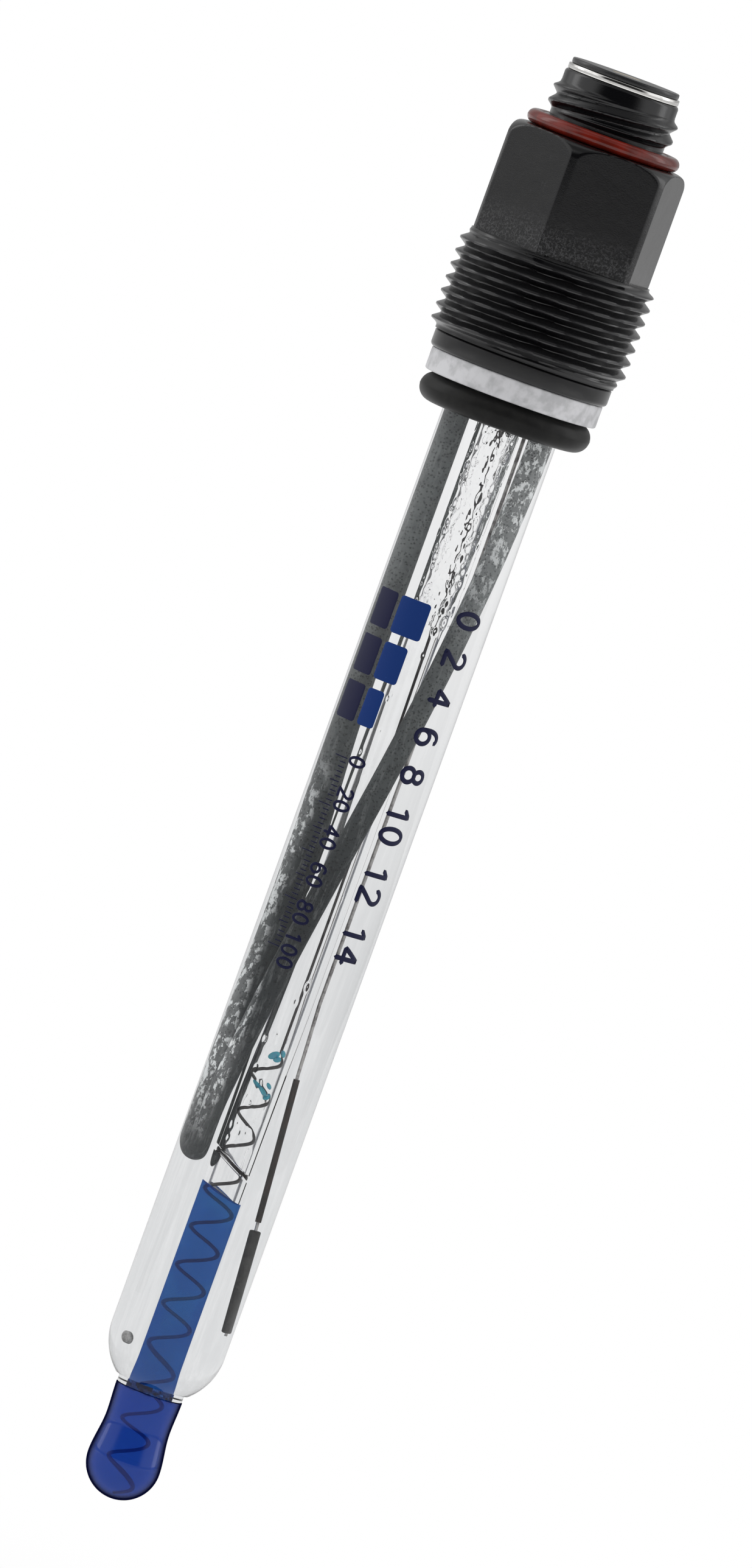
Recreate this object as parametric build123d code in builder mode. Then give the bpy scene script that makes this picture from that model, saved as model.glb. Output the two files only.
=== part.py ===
from build123d import *

import os
from math import acos, asin, cos, degrees, radians, sin

# Combination pH electrode with a 12 mm glass shaft and a threaded plug head, in millimetres.
# The axis is Z and the head points to +Z. The origin is on the axis in the seat plane, the
# underside of the head that presses the washer, and the insertion length is counted from there.
# The front is -Y. Angles round the axis are counted from the front, positive towards +X.

# Glass shaft
shaft_diameter = 12.0
shaft_wall = 0.75
insertion_length = 120.0
glass_in_head = 16.0
shoulder_curve_radius = 6.5
shoulder_end_diameter = 7.8

# Inner stem, fused to the shaft where its foot flares out
stem_diameter = 3.9
stem_wall = 0.35
stem_top_z = 14.0
foot_diameter = 6.9
foot_length = 0.9
flare_length = 2.8
flare_wall_lag = 0.3

# Membrane bulb
bulb_length = 11.4
bulb_diameter = 7.6
bulb_top_diameter = 7.0
bulb_waist_diameter = 6.75
bulb_waist_below_top = 3.3
membrane_wall = 0.3

# Blue inner buffer, whose level surface slopes because the electrode leans
meniscus_above_tip = 32.7
meniscus_slope = 20.0

# Inner lead, a fine wire that ends in a coil inside the buffer
lead_diameter = 0.34
coil_diameter = 2.5
coil_pitch = 4.11
coil_turns = 11.37
coil_above_tip = 1.1
coil_start_angle = -90.0
lead_bend_radius = 40.0
lead_straight_length = 34.0
lead_centred_z = 6.0

# Reference side: gel, junction, wire, element and compensation cord
gel_top_z = 6.0
junction_diameter = 1.2
junction_above_tip = 16.3
junction_angle = -44.0
wire_diameter = 0.25
wire_angle_at_head = 150.0
wire_angle_beside_stem = 127.0
wire_angle_at_element = 104.0
wire_leaves_head_z = 3.0
wire_meets_stem_z = -12.0
wire_leaves_stem_above_tip = 54.0
wire_stem_gap = 0.2
wire_bend_radius = 6.0
sleeve_top_above_tip = 46.6
sleeve_diameter = 0.46
element_top_above_tip = 30.8
element_length = 11.2
element_diameter = 0.86
element_top_out = 3.2
element_end_out = 3.8
element_edge_share = 0.2
wire_tail_length = 0.3

# Compensation cord, one piece folded over at its lower end, with its front leg crossing the stem
cord_diameter = 2.0
cord_stem_gap = 0.3
cord_top_z = 4.0
cord_fold_above_tip = 35.0
cord_leg_gap = 0.3
cord_fold_angle = -92.5
cord_front_angle_at_head = 100.0
cord_front_turn_z = -9.0
cord_front_turns_over = 7
cord_back_angle_at_head = -106.0
cord_back_angle_behind = -143.0
cord_back_turn_above_tip = 84.0
cord_back_behind_above_tip = 62.0
cord_fold_straight = 5.0
cord_arc_share = 0.45
cord_fold_share = 0.99

# Head moulding
collar_diameter = 18.7
collar_height = 2.0
collar_chamfer = 0.4
process_thread_diameter = 20.4
process_thread_depth = 0.75
process_thread_length = 10.55
hex_across_flats = 17.0
hex_corner_radius = 0.8
hex_height = 11.75
hex_turn_diameter = 19.2
hex_shoulder_radius = 1.6
hex_vertex_angle = -13.0
hex_sides = 6
neck_diameter = 13.0
neck_height = 1.8
plug_thread_diameter = 13.2
plug_thread_depth = 0.5
plug_thread_length = 3.3
plug_collar_diameter = 12.0
plug_collar_height = 1.3
plug_collar_chamfer = 0.3
bond_gap = 0.25
bond_start_z = 0.5
socket_above_glass = 2.0
passage_diameter = 7.0
passage_cone_height = 2.6
potting_top_below_rim = 5.7

# Contacts in the plug
ring_diameter = 11.7
ring_thickness = 0.6
ring_chamfer = 0.1
insulator_diameter = 11.3
insulator_thickness = 0.6
insulator_edge_radius = 0.25
spigot_diameter = 5.2
spigot_length = 4.0
ring_bore_clearance = 0.05
contact_head_diameter = 3.0
contact_head_thickness = 0.35
contact_shank_diameter = 1.8
contact_shank_below_spigot = 1.0
cup_diameter = 0.9
cup_depth = 1.5
solder_drop = 0.5
solder_tip_diameter = 0.5
ring_solder_diameter = 0.8
ring_solder_height = 0.6
lead_sleeve_diameter = 0.9
lead_sleeve_end_gap = 0.2
reference_sleeve_diameter = 0.6
reference_sleeve_end_gap = 0.1

# Stoppers
gel_stopper_length = 5.0
stem_stopper_length = 4.0

# Seals
washer_width = 3.0
washer_thickness = 2.35
washer_bore_clearance = 0.05
washer_chamfer = 0.25
shaft_ring_section = 3.0
shaft_ring_clearance = 0.02
plug_ring_section = 1.5
plug_ring_clearance = 0.05

# Radii and levels worked out from the sizes above
quarter_turn = 90.0
shaft_radius = shaft_diameter / 2
bore_radius = shaft_radius - shaft_wall
stem_radius = stem_diameter / 2
stem_bore_radius = stem_radius - stem_wall
foot_radius = foot_diameter / 2
foot_bore_radius = foot_radius - stem_wall
shoulder_end_radius = shoulder_end_diameter / 2
lead_radius = lead_diameter / 2
wire_radius = wire_diameter / 2
cord_radius = cord_diameter / 2

tip_z = -insertion_length
bulb_top_z = tip_z + bulb_length
neck_top_z = bulb_top_z + foot_length
outer_sweep = degrees(acos(1 - (shaft_radius - shoulder_end_radius) / shoulder_curve_radius))
shoulder_start_z = neck_top_z + shoulder_curve_radius * sin(radians(outer_sweep))
inner_curve_radius = shoulder_curve_radius - shaft_wall
inner_sweep = degrees(acos(1 - (bore_radius - foot_radius) / inner_curve_radius))
seal_z = shoulder_start_z - inner_curve_radius * sin(radians(inner_sweep))
coil_bottom_z = tip_z + coil_above_tip
meniscus_z = tip_z + meniscus_above_tip
wire_leaves_stem_z = tip_z + wire_leaves_stem_above_tip
sleeve_top_z = tip_z + sleeve_top_above_tip
element_top_z = tip_z + element_top_above_tip
cord_fold_z = tip_z + cord_fold_above_tip
cord_back_turn_z = tip_z + cord_back_turn_above_tip
cord_back_behind_z = tip_z + cord_back_behind_above_tip

process_thread_radius = process_thread_diameter / 2
process_root_radius = process_thread_radius - process_thread_depth
plug_thread_radius = plug_thread_diameter / 2
plug_root_radius = plug_thread_radius - plug_thread_depth
thread_bottom_z = collar_height
thread_top_z = thread_bottom_z + process_thread_length
hex_top_z = thread_top_z + hex_height
plug_thread_bottom_z = hex_top_z + neck_height
plug_thread_top_z = plug_thread_bottom_z + plug_thread_length
rim_z = plug_thread_top_z + plug_collar_height
ring_top_z = rim_z + ring_thickness
plug_top_z = ring_top_z + insulator_thickness
socket_radius = shaft_radius + bond_gap
socket_top_z = glass_in_head + socket_above_glass
passage_radius = passage_diameter / 2
passage_bottom_z = socket_top_z + passage_cone_height
potting_top_z = rim_z - potting_top_below_rim
spigot_radius = spigot_diameter / 2
spigot_bottom_z = ring_top_z - spigot_length
shank_bottom_z = spigot_bottom_z - contact_shank_below_spigot
gel_stopper_top_z = gel_top_z + gel_stopper_length
cup_top_z = shank_bottom_z + cup_depth
contact_head_z = plug_top_z - contact_head_thickness
shank_radius = contact_shank_diameter / 2
reference_wire_out = (passage_radius + spigot_radius) / 2
washer_bore_radius = shaft_radius + washer_bore_clearance
washer_radius = washer_bore_radius + washer_width
flare_top = (stem_radius, seal_z + flare_length)
bore_flare_top = (stem_bore_radius, seal_z + flare_length - flare_wall_lag)
bore_flare_end = (foot_bore_radius, seal_z - flare_wall_lag)

os.makedirs("parts", exist_ok=True)


def around(out, angle, z):
    """The point at a distance out from the axis, at an angle counted from the front."""
    return Vector(out * sin(radians(angle)), -out * cos(radians(angle)), z)


def half_section(*points):
    """The face inside a closed outline of (radius, z) points, to be turned about the axis."""
    with BuildSketch(Plane.XZ) as section:
        with BuildLine():
            Polyline(*points, close=True)
        make_face()
    return section.sketch


def bulb_section(inset):
    """Half of the bulb's section, drawn in by an inset that leaves the wall outside it."""
    ball_radius = bulb_diameter / 2 - inset
    ball_z = tip_z + bulb_diameter / 2
    top = (bulb_top_diameter / 2 - inset, bulb_top_z)
    waist = (bulb_waist_diameter / 2 - inset, bulb_top_z - bulb_waist_below_top)
    with BuildSketch(Plane.XZ) as section:
        with BuildLine():
            Spline(top, waist, (ball_radius, ball_z), tangents=[(0, -1), (0, -1)])
            JernArc(start=(ball_radius, ball_z), tangent=(0, -1), radius=ball_radius,
                    arc_size=-quarter_turn)
            Polyline((0, ball_z - ball_radius), (0, bulb_top_z), top)
        make_face()
    return section.sketch


# Glass shaft: a tube that necks in to a rounded shoulder and is fused to the foot of the stem
with BuildPart() as shaft_blank:
    with BuildSketch(Plane.XZ):
        with BuildLine():
            outer_arc = JernArc(start=(shaft_radius, shoulder_start_z), tangent=(0, -1),
                                radius=shoulder_curve_radius, arc_size=-outer_sweep)
            inner_arc = JernArc(start=(bore_radius, shoulder_start_z), tangent=(0, -1),
                                radius=inner_curve_radius, arc_size=-inner_sweep)
            Polyline(outer_arc @ 1, (foot_radius, neck_top_z), inner_arc @ 1)
            Polyline(inner_arc @ 0, (bore_radius, glass_in_head), (shaft_radius, glass_in_head),
                     outer_arc @ 0)
        make_face()
    revolve(axis=Axis.Z)

junction_start = around(stem_radius, junction_angle, tip_z + junction_above_tip)
with BuildPart() as junction_bore:
    with BuildSketch(Plane(origin=junction_start, z_dir=around(1, junction_angle, 0))):
        Circle(junction_diameter / 2)
    extrude(amount=shaft_radius)

with BuildPart() as glass_shaft:
    add(shaft_blank.part)
    add(junction_bore.part, mode=Mode.SUBTRACT)
glass_shaft.part.label = "glass_shaft"
export_step(glass_shaft.part, "parts/glass_shaft.step")

# Ceramic junction: a porous pin fused through the shaft's wall, flush on both sides
with BuildPart() as ceramic_junction:
    add(shaft_blank.part)
    add(junction_bore.part, mode=Mode.INTERSECT)
ceramic_junction.part.label = "ceramic_junction"
export_step(ceramic_junction.part, "parts/ceramic_junction.step")

# Inner stem: a narrow tube with a flared foot, which carries the bulb
with BuildPart() as inner_stem:
    with BuildSketch(Plane.XZ):
        with BuildLine():
            Spline(flare_top, (foot_radius, seal_z), tangents=[(0, -1), (0, -1)])
            Spline(bore_flare_top, bore_flare_end, tangents=[(0, -1), (0, -1)])
            Polyline((foot_radius, seal_z), (foot_radius, bulb_top_z),
                     (foot_bore_radius, bulb_top_z), bore_flare_end)
            Polyline(bore_flare_top, (stem_bore_radius, stem_top_z), (stem_radius, stem_top_z),
                     flare_top)
        make_face()
    revolve(axis=Axis.Z)
inner_stem.part.label = "inner_stem"
export_step(inner_stem.part, "parts/inner_stem.step")

# Membrane bulb: the thin blown end of pH glass
with BuildPart() as bulb_hollow:
    revolve(bulb_section(membrane_wall), axis=Axis.Z)

with BuildPart() as membrane_bulb:
    revolve(bulb_section(0), axis=Axis.Z)
    add(bulb_hollow.part, mode=Mode.SUBTRACT)
membrane_bulb.part.label = "membrane_bulb"
export_step(membrane_bulb.part, "parts/membrane_bulb.step")

# Inner lead: the coil in the buffer, and the straight wire from its top up to the contact
with BuildPart() as inner_lead:
    with BuildLine() as coil_path:
        add(Helix(pitch=coil_pitch, height=coil_pitch * coil_turns, radius=coil_diameter / 2,
                  center=(0, 0, coil_bottom_z), mode=Mode.PRIVATE).rotate(Axis.Z, coil_start_angle))
    with BuildSketch(Plane(origin=coil_path.line @ 0, z_dir=coil_path.line % 0)):
        Circle(lead_radius)
    sweep(path=coil_path.line, is_frenet=True)
    coil_end = coil_path.line @ 1
    with Locations(coil_end):
        Sphere(lead_radius)
    lead_route = [coil_end,
                  coil_end + Vector(0, 0, lead_straight_length),
                  Vector(0, 0, lead_centred_z),
                  Vector(0, 0, cup_top_z)]
    with BuildLine() as lead_path:
        FilletPolyline(*lead_route, radius=lead_bend_radius)
    with BuildSketch(Plane(origin=coil_end, z_dir=lead_path.line % 0)):
        Circle(lead_radius)
    sweep(path=lead_path.line)
inner_lead.part.label = "inner_lead"
export_step(inner_lead.part, "parts/inner_lead.step")

# Inner buffer: the blue filling of the bulb and the lower stem, up to its sloping surface
slope = radians(meniscus_slope)
meniscus_plane = Plane(origin=(0, 0, meniscus_z), z_dir=(sin(slope), 0, cos(slope)))
above_meniscus_z = meniscus_z + stem_diameter

with BuildPart() as inner_buffer:
    revolve(bulb_section(membrane_wall), axis=Axis.Z)
    with BuildSketch(Plane.XZ):
        with BuildLine():
            Spline(bore_flare_top, bore_flare_end, tangents=[(0, -1), (0, -1)])
            Polyline(bore_flare_end, (foot_bore_radius, bulb_top_z), (0, bulb_top_z),
                     (0, above_meniscus_z), (stem_bore_radius, above_meniscus_z), bore_flare_top)
        make_face()
    revolve(axis=Axis.Z)
    split(bisect_by=meniscus_plane, keep=Keep.BOTTOM)
    add(inner_lead.part, mode=Mode.SUBTRACT)
inner_buffer.part.label = "inner_buffer"
export_step(inner_buffer.part, "parts/inner_buffer.step")

# Stem stopper: closes the stem's bore round the lead
with BuildPart() as stem_stopper:
    revolve(
        half_section((lead_radius, stem_top_z - stem_stopper_length),
                     (stem_bore_radius, stem_top_z - stem_stopper_length),
                     (stem_bore_radius, stem_top_z),
                     (lead_radius, stem_top_z)),
        axis=Axis.Z)
stem_stopper.part.label = "stem_stopper"
export_step(stem_stopper.part, "parts/stem_stopper.step")

# Inner lead sleeve: insulation from the stem's stopper up to the centre contact
lead_sleeve_top_z = shank_bottom_z - solder_drop - lead_sleeve_end_gap
with BuildPart() as inner_lead_sleeve:
    revolve(
        half_section((lead_radius, stem_top_z),
                     (lead_sleeve_diameter / 2, stem_top_z),
                     (lead_sleeve_diameter / 2, lead_sleeve_top_z),
                     (lead_radius, lead_sleeve_top_z)),
        axis=Axis.Z)
inner_lead_sleeve.part.label = "inner_lead_sleeve"
export_step(inner_lead_sleeve.part, "parts/inner_lead_sleeve.step")

# Reference wire: from the contact ring down past the stem to the end of the element
beside_stem = stem_radius + wire_radius + wire_stem_gap
wire_top = around(reference_wire_out, wire_angle_at_head, rim_z)
sleeve_start = around(beside_stem, wire_angle_at_element, sleeve_top_z)
element_start = around(element_top_out, wire_angle_at_element, element_top_z)
element_end = around(element_end_out, wire_angle_at_element, element_top_z - element_length)
element_run = (element_end - element_start).normalized()
sleeve_run = (element_start - sleeve_start).normalized()
wire_route = [wire_top,
              around(reference_wire_out, wire_angle_at_head, wire_leaves_head_z),
              around(beside_stem, wire_angle_beside_stem, wire_meets_stem_z),
              around(beside_stem, wire_angle_beside_stem, wire_leaves_stem_z),
              sleeve_start,
              element_start,
              element_end + element_run * wire_tail_length]

with BuildPart() as reference_wire:
    with BuildLine() as wire_path:
        FilletPolyline(*wire_route, radius=wire_bend_radius)
    with BuildSketch(Plane(origin=wire_top, z_dir=wire_path.line % 0)):
        Circle(wire_radius)
    sweep(path=wire_path.line)
reference_wire.part.label = "reference_wire"
export_step(reference_wire.part, "parts/reference_wire.step")

# Wire sleeve: black insulation on the last run above the element
with BuildPart() as wire_sleeve:
    with BuildSketch(Plane(origin=sleeve_start + sleeve_run * sleeve_diameter, z_dir=sleeve_run)):
        Circle(sleeve_diameter / 2)
    extrude(amount=(element_start - sleeve_start).length - 2 * sleeve_diameter)
    add(reference_wire.part, mode=Mode.SUBTRACT)
wire_sleeve.part.label = "wire_sleeve"
export_step(wire_sleeve.part, "parts/wire_sleeve.step")

# Reference element: the silver chloride body cast round the end of the wire
with BuildPart() as reference_element:
    with BuildSketch(Plane(origin=element_end, z_dir=-element_run)):
        Circle(element_diameter / 2)
    extrude(amount=(element_end - element_start).length - element_diameter / 2)
    element_rims = reference_element.edges().filter_by(GeomType.CIRCLE)
    fillet(element_rims, radius=element_edge_share * element_diameter)
    add(reference_wire.part, mode=Mode.SUBTRACT)
reference_element.part.label = "reference_element"
export_step(reference_element.part, "parts/reference_element.step")

# Reference sleeve: insulation on the reference wire between the gel stopper and the contact ring
reference_sleeve_top_z = rim_z - ring_solder_height - reference_sleeve_end_gap
with BuildPart() as reference_sleeve:
    with BuildSketch(Plane.XY.offset(gel_stopper_top_z)):
        with Locations(around(reference_wire_out, wire_angle_at_head, 0)):
            Circle(reference_sleeve_diameter / 2)
    extrude(amount=reference_sleeve_top_z - gel_stopper_top_z)
    add(reference_wire.part, mode=Mode.SUBTRACT)
reference_sleeve.part.label = "reference_sleeve"
export_step(reference_sleeve.part, "parts/reference_sleeve.step")

# Compensation cord: the front leg winds across the stem, the back leg bows behind it
cord_out = stem_radius + cord_radius + cord_stem_gap
fold_radius = cord_radius + cord_leg_gap / 2
fold_half_angle = degrees(asin(fold_radius / cord_out))
fold_low_z = cord_fold_z + cord_radius
front_fold_angle = cord_fold_angle + fold_half_angle
back_fold_angle = cord_fold_angle - fold_half_angle
front_leg_end_z = fold_low_z + cord_fold_straight
front_turn_step = (front_fold_angle - cord_front_angle_at_head) / cord_front_turns_over
front_drop_step = (front_leg_end_z - cord_front_turn_z) / cord_front_turns_over
front_leg = [around(cord_out, cord_front_angle_at_head, cord_top_z)]
for step in range(cord_front_turns_over + 1):
    front_leg.append(around(cord_out,
                            cord_front_angle_at_head + step * front_turn_step,
                            cord_front_turn_z + step * front_drop_step))
fold = [around(cord_out, front_fold_angle, fold_low_z), around(cord_out, back_fold_angle, fold_low_z)]
back_leg = [around(cord_out, back_fold_angle, front_leg_end_z),
            around(cord_out, cord_back_angle_behind, cord_back_behind_z),
            around(cord_out, cord_back_angle_at_head, cord_back_turn_z),
            around(cord_out, cord_back_angle_at_head, cord_top_z)]
cord_route = front_leg + fold + back_leg


def widest_arcs(points, share, tight):
    """The radius of each corner's arc: as large as its two runs allow, or the tight one given."""
    radii = []
    for number, (before, corner, after) in enumerate(zip(points, points[1:], points[2:]), start=1):
        half_turn = radians((corner - before).get_angle(after - corner)) / 2
        shorter = min((corner - before).length, (after - corner).length)
        radii.append(tight.get(number, share * shorter * cos(half_turn) / sin(half_turn)))
    return radii


fold_arc = cord_fold_share * fold_radius
fold_corners = {len(front_leg): fold_arc, len(front_leg) + 1: fold_arc}
cord_arcs = widest_arcs(cord_route, cord_arc_share, fold_corners)
print("Radii along the cord:", [round(arc, 1) for arc in cord_arcs])
with BuildPart() as compensation_cord:
    with BuildLine() as cord_path:
        FilletPolyline(*cord_route, radius=cord_arcs)
    with BuildSketch(Plane(origin=cord_route[0], z_dir=cord_path.line % 0)):
        Circle(cord_radius)
    sweep(path=cord_path.line)
compensation_cord.part.label = "compensation_cord"
export_step(compensation_cord.part, "parts/compensation_cord.step")

# Reference gel: fills the space between stem and shaft, round the cord, the wire and the element
with BuildPart() as reference_gel:
    with BuildSketch(Plane.XZ):
        with BuildLine():
            inner_arc = JernArc(start=(bore_radius, shoulder_start_z), tangent=(0, -1),
                                radius=inner_curve_radius, arc_size=-inner_sweep)
            Spline(flare_top, inner_arc @ 1, tangents=[(0, -1), (0, -1)])
            Polyline(flare_top, (stem_radius, gel_top_z), (bore_radius, gel_top_z), inner_arc @ 0)
        make_face()
    revolve(axis=Axis.Z)
    for embedded in (compensation_cord, reference_wire, wire_sleeve, reference_element):
        add(embedded.part, mode=Mode.SUBTRACT)
reference_gel.part.label = "reference_gel"
export_step(reference_gel.part, "parts/reference_gel.step")

# Gel stopper: a rubber ring that closes the gel's space round the stem
with BuildPart() as gel_stopper:
    revolve(
        half_section((stem_radius, gel_top_z),
                     (bore_radius, gel_top_z),
                     (bore_radius, gel_stopper_top_z),
                     (stem_radius, gel_stopper_top_z)),
        axis=Axis.Z)
    add(reference_wire.part, mode=Mode.SUBTRACT)
gel_stopper.part.label = "gel_stopper"
export_step(gel_stopper.part, "parts/gel_stopper.step")

# Head moulding: collar, process thread at its major diameter, hexagon, neck and plug thread
with BuildPart() as hexagon:
    with BuildSketch(Plane.XY.offset(thread_top_z)):
        RegularPolygon(hex_across_flats / 2, hex_sides, major_radius=False,
                       rotation=hex_vertex_angle - quarter_turn)
    extrude(amount=hex_height)
    fillet(hexagon.edges().filter_by(Axis.Z), radius=hex_corner_radius)
    with BuildSketch(Plane.XZ):
        with BuildLine():
            Polyline((0, thread_top_z), (hex_turn_diameter / 2, thread_top_z),
                     (hex_turn_diameter / 2, hex_top_z), (0, hex_top_z), close=True)
        turned = make_face()
        fillet(turned.vertices().group_by(Axis.X)[-1].sort_by(Axis.Z)[-1], radius=hex_shoulder_radius)
    revolve(axis=Axis.Z, mode=Mode.INTERSECT)

with BuildPart() as head_body:
    revolve(
        half_section((0, 0),
                     (collar_diameter / 2 - collar_chamfer, 0),
                     (collar_diameter / 2, collar_chamfer),
                     (collar_diameter / 2, thread_bottom_z),
                     (process_root_radius, thread_bottom_z),
                     (process_thread_radius, thread_bottom_z + process_thread_depth),
                     (process_thread_radius, thread_top_z - process_thread_depth),
                     (process_root_radius, thread_top_z),
                     (0, thread_top_z)),
        axis=Axis.Z)
    add(hexagon.part)
    revolve(
        half_section((0, hex_top_z),
                     (neck_diameter / 2, hex_top_z),
                     (neck_diameter / 2, plug_thread_bottom_z - plug_thread_depth),
                     (plug_root_radius, plug_thread_bottom_z),
                     (plug_thread_radius, plug_thread_bottom_z + plug_thread_depth),
                     (plug_thread_radius, plug_thread_top_z - plug_thread_depth),
                     (plug_root_radius, plug_thread_top_z),
                     (plug_collar_diameter / 2, plug_thread_top_z),
                     (plug_collar_diameter / 2, rim_z - plug_collar_chamfer),
                     (plug_collar_diameter / 2 - plug_collar_chamfer, rim_z),
                     (0, rim_z)),
        axis=Axis.Z)
    with BuildSketch(Plane.XZ):
        with BuildLine():
            Polyline((0, 0), (socket_radius, 0), (socket_radius, socket_top_z),
                     (passage_radius, passage_bottom_z), (passage_radius, rim_z), (0, rim_z),
                     close=True)
        make_face()
    revolve(axis=Axis.Z, mode=Mode.SUBTRACT)
head_body.part.label = "head_body"
export_step(head_body.part, "parts/head_body.step")

# Potting: resin that bonds the glass into the head and holds the two leads
with BuildPart() as potting:
    revolve(
        half_section((shaft_radius, bond_start_z),
                     (socket_radius, bond_start_z),
                     (socket_radius, socket_top_z),
                     (passage_radius, passage_bottom_z),
                     (passage_radius, potting_top_z),
                     (0, potting_top_z),
                     (0, stem_top_z),
                     (stem_radius, stem_top_z),
                     (stem_radius, gel_stopper_top_z),
                     (bore_radius, gel_stopper_top_z),
                     (bore_radius, glass_in_head),
                     (shaft_radius, glass_in_head)),
        axis=Axis.Z)
    for embedded in (inner_lead, inner_lead_sleeve, reference_wire, reference_sleeve):
        add(embedded.part, mode=Mode.SUBTRACT)
potting.part.label = "potting"
export_step(potting.part, "parts/potting.step")

# Contact ring: the outer contact of the plug, a polished ring on the head's rim
with BuildPart() as contact_ring:
    revolve(
        half_section((spigot_radius + ring_bore_clearance, rim_z),
                     (ring_diameter / 2 - ring_chamfer, rim_z),
                     (ring_diameter / 2, rim_z + ring_chamfer),
                     (ring_diameter / 2, ring_top_z - ring_chamfer),
                     (ring_diameter / 2 - ring_chamfer, ring_top_z),
                     (spigot_radius + ring_bore_clearance, ring_top_z)),
        axis=Axis.Z)
contact_ring.part.label = "contact_ring"
export_step(contact_ring.part, "parts/contact_ring.step")

# Contact insulator: the black disc on top, with a spigot that centres the ring
with BuildPart() as contact_insulator:
    revolve(
        half_section((shank_radius, spigot_bottom_z),
                     (spigot_radius, spigot_bottom_z),
                     (spigot_radius, ring_top_z),
                     (insulator_diameter / 2, ring_top_z),
                     (insulator_diameter / 2, plug_top_z),
                     (contact_head_diameter / 2, plug_top_z),
                     (contact_head_diameter / 2, contact_head_z),
                     (shank_radius, contact_head_z)),
        axis=Axis.Z)
    rim = contact_insulator.edges().filter_by(GeomType.CIRCLE).group_by(Axis.Z)[-1]
    fillet(rim.sort_by(SortBy.RADIUS)[-1], radius=insulator_edge_radius)
contact_insulator.part.label = "contact_insulator"
export_step(contact_insulator.part, "parts/contact_insulator.step")

# Centre contact: a headed pin with a solder cup in its lower end
with BuildPart() as centre_contact:
    revolve(
        half_section((0, cup_top_z),
                     (cup_diameter / 2, cup_top_z),
                     (cup_diameter / 2, shank_bottom_z),
                     (shank_radius, shank_bottom_z),
                     (shank_radius, contact_head_z),
                     (contact_head_diameter / 2, contact_head_z),
                     (contact_head_diameter / 2, plug_top_z),
                     (0, plug_top_z)),
        axis=Axis.Z)
centre_contact.part.label = "centre_contact"
export_step(centre_contact.part, "parts/centre_contact.step")

# Centre solder: fills the cup round the lead and tapers off below it
with BuildPart() as centre_solder:
    revolve(
        half_section((lead_radius, shank_bottom_z - solder_drop),
                     (solder_tip_diameter / 2, shank_bottom_z - solder_drop),
                     (shank_radius, shank_bottom_z),
                     (cup_diameter / 2, shank_bottom_z),
                     (cup_diameter / 2, cup_top_z),
                     (lead_radius, cup_top_z)),
        axis=Axis.Z)
centre_solder.part.label = "centre_solder"
export_step(centre_solder.part, "parts/centre_solder.step")

# Ring solder: a bead that joins the reference wire to the underside of the contact ring
with BuildPart() as ring_solder:
    bead_top = around(reference_wire_out, wire_angle_at_head, rim_z)
    with Locations(bead_top - Vector(0, 0, ring_solder_height / 2)):
        Cone(bottom_radius=reference_sleeve_diameter / 2, top_radius=ring_solder_diameter / 2,
             height=ring_solder_height)
    add(reference_wire.part, mode=Mode.SUBTRACT)
ring_solder.part.label = "ring_solder"
export_step(ring_solder.part, "parts/ring_solder.step")

# Plug ring: the red seal that lies on the hexagon round the neck
with BuildPart() as plug_ring:
    with Locations((0, 0, hex_top_z + plug_ring_section / 2)):
        Torus(neck_diameter / 2 + plug_ring_clearance + plug_ring_section / 2, plug_ring_section / 2)
plug_ring.part.label = "plug_ring"
export_step(plug_ring.part, "parts/plug_ring.step")

# Thrust washer: the pale plastic ring between the head and the shaft's seal
with BuildPart() as thrust_washer:
    revolve(
        half_section((washer_bore_radius, -washer_thickness),
                     (washer_radius - washer_chamfer, -washer_thickness),
                     (washer_radius, -washer_thickness + washer_chamfer),
                     (washer_radius, -washer_chamfer),
                     (washer_radius - washer_chamfer, 0),
                     (washer_bore_radius, 0)),
        axis=Axis.Z)
thrust_washer.part.label = "thrust_washer"
export_step(thrust_washer.part, "parts/thrust_washer.step")

# Shaft ring: the black seal on the shaft under the washer
with BuildPart() as shaft_ring:
    with Locations((0, 0, -washer_thickness - shaft_ring_section / 2)):
        Torus(shaft_radius + shaft_ring_clearance + shaft_ring_section / 2, shaft_ring_section / 2)
shaft_ring.part.label = "shaft_ring"
export_step(shaft_ring.part, "parts/shaft_ring.step")
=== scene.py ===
import math

import bpy
import numpy as np
from mathutils import Matrix, Vector


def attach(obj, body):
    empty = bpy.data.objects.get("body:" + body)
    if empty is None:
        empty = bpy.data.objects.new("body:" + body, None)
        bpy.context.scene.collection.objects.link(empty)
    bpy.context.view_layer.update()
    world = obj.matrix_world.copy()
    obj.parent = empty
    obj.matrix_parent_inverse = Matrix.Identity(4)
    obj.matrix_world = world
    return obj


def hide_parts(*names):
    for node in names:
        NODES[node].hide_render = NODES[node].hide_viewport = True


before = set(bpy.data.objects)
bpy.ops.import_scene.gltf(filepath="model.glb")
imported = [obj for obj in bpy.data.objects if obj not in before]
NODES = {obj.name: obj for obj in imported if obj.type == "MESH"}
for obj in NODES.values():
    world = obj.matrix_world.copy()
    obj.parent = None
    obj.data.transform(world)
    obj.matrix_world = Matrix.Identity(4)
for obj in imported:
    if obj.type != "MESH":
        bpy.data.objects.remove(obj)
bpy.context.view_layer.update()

bl_info = {
    "name": "pH electrode looks",
    "version": (1, 0, 0),
    "blender": (4, 5, 0),
    "location": "View3D > Sidebar > Electrode",
    "description": "Dresses a packed pH electrode with detailed surfaces, materials and a stage",
    "category": "Object",
}

# Every length below is in millimetres, as on the drawing of the part, until MM turns it into metres.
# Angles round the axis are counted from the front, -Y, positive towards +X.
MM = 0.001
FULL_TURN = 2 * math.pi

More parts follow.
